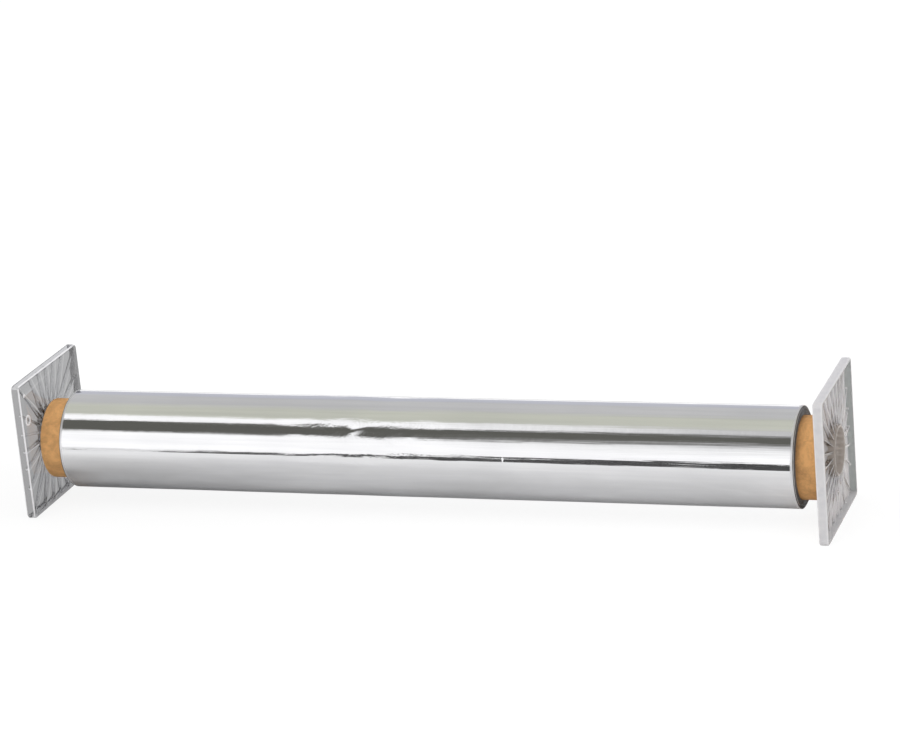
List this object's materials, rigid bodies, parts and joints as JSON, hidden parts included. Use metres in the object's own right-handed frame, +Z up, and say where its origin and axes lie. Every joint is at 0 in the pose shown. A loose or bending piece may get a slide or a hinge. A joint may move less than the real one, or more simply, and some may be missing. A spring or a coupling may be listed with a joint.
{
  "type": "aluminium foil roll",
  "caption": "Wide roll of aluminium foil on a longer cardboard core, which hangs on the plugs of two clear square end plates with a rim and radial ribs.",
  "frame": {"origin": "on the surface that the end plates stand on, under the middle of the roll", "axes": "+X along the roll towards the right-hand end plate, +Z up, and the foil's free edge faces -Y"},
  "size_m": [0.4926, 0.0844, 0.0845],
  "materials": {
    "foil": "bright rolled foil, slightly wrinkled",
    "cardboard": "bare brown board, matt",
    "clear_plastic": "clear moulded polystyrene, glossy"
  },
  "bodies": {
    "roll": {"foil_winding": "foil", "core_tube": "cardboard"},
    "left_plate": {"left_end_plate": "clear_plastic"},
    "right_plate": {"right_end_plate": "clear_plastic"}
  },
  "joints": [
    {"name": "left_plate_turn", "type": "hinge", "parent": "roll", "child": "left_plate", "pos_m": [-0.2408, 0, 0.03755], "axis": [1, 0, 0], "continuous": true},
    {"name": "right_plate_turn", "type": "hinge", "parent": "roll", "child": "right_plate", "pos_m": [0.2408, 0, 0.03755], "axis": [1, 0, 0], "continuous": true}
  ]
}
